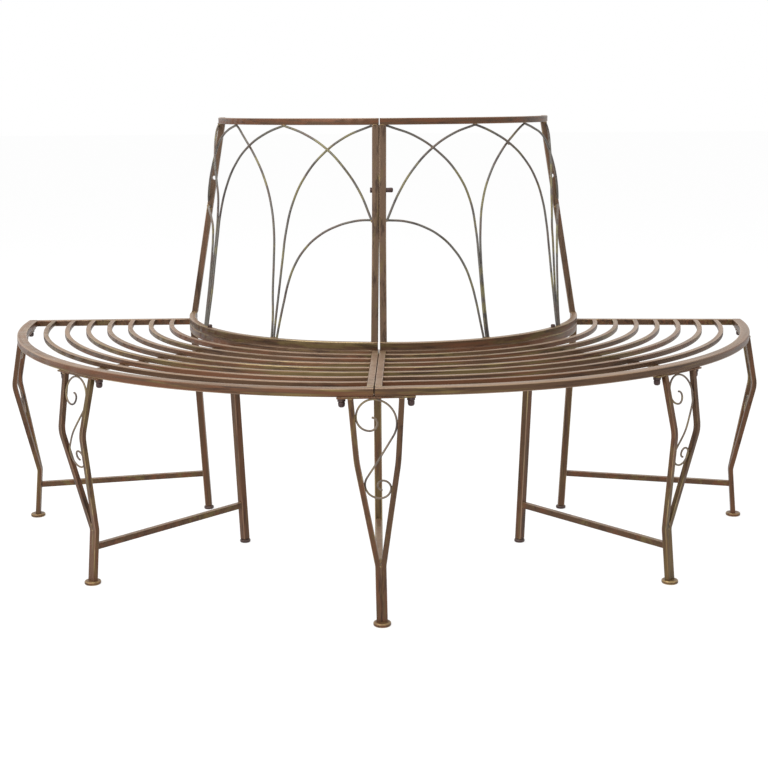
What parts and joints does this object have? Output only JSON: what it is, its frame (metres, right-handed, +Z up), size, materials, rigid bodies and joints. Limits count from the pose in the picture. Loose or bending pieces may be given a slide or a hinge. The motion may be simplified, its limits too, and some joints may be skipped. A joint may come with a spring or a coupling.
{
  "type": "tree bench",
  "caption": "Half-round steel bench that stands round a tree trunk, with curved seat slats, a leaning wire-arch back and cabriole legs with scrolls.",
  "frame": {"origin": "on the floor, under the middle of the bench's bounding box", "axes": "+X along the open flat side, +Y from the sitters' side towards the open flat side, +Z up"},
  "size_m": [1.6406, 0.8208, 0.883],
  "materials": {
    "rubbed_brown": "satin brown paint, rubbed pale along the upper faces",
    "bronze_brown": "satin brown paint brushed with reddish and olive bronze",
    "bronze_wire": "satin grey-olive bronze paint",
    "gold_brown": "brown paint with brushed gold on the edges",
    "dark_fastener": "dark satin paint"
  },
  "bodies": {
    "root": {"left_outer_rim": "rubbed_brown", "left_inner_rim": "rubbed_brown", "left_end_bar": "rubbed_brown", "left_seam_bar": "rubbed_brown", "left_bearer": "bronze_brown", "left_slat_1": "rubbed_brown", "left_slat_2": "rubbed_brown", "left_slat_3": "rubbed_brown", "left_slat_4": "rubbed_brown", "left_slat_5": "rubbed_brown", "left_slat_6": "rubbed_brown", "left_slat_7": "rubbed_brown", "left_bottom_rail": "rubbed_brown", "left_top_rail": "bronze_brown", "left_seam_post": "bronze_brown", "left_end_post": "bronze_brown", "left_back_wires": "bronze_wire", "right_outer_rim": "rubbed_brown", "right_inner_rim": "rubbed_brown", "right_end_bar": "rubbed_brown", "right_seam_bar": "rubbed_brown", "right_bearer": "bronze_brown", "right_slat_1": "rubbed_brown", "right_slat_2": "rubbed_brown", "right_slat_3": "rubbed_brown", "right_slat_4": "rubbed_brown", "right_slat_5": "rubbed_brown", "right_slat_6": "rubbed_brown", "right_slat_7": "rubbed_brown", "right_bottom_rail": "rubbed_brown", "right_top_rail": "bronze_brown", "right_seam_post": "bronze_brown", "right_end_post": "bronze_brown", "right_back_wires": "bronze_wire", "left_end_leg_bars": "bronze_brown", "left_end_inner_leg": "bronze_brown", "left_end_stretcher": "bronze_brown", "left_middle_leg_bars": "bronze_brown", "left_middle_inner_leg": "bronze_brown", "left_middle_stretcher": "bronze_brown", "centre_leg_bars": "bronze_brown", "centre_inner_leg": "bronze_brown", "centre_stretcher": "bronze_brown", "right_middle_leg_bars": "bronze_brown", "right_middle_inner_leg": "bronze_brown", "right_middle_stretcher": "bronze_brown", "right_end_leg_bars": "bronze_brown", "right_end_inner_leg": "bronze_brown", "right_end_stretcher": "bronze_brown", "leg_scrolls": "bronze_wire", "leg_straps": "bronze_brown", "outer_feet": "gold_brown", "inner_feet": "dark_fastener", "leg_cap_studs": "dark_fastener", "seam_bolt": "dark_fastener", "seam_nut": "dark_fastener", "rail_bolts": "dark_fastener", "rail_nuts": "dark_fastener"}
  },
  "joints": []
}
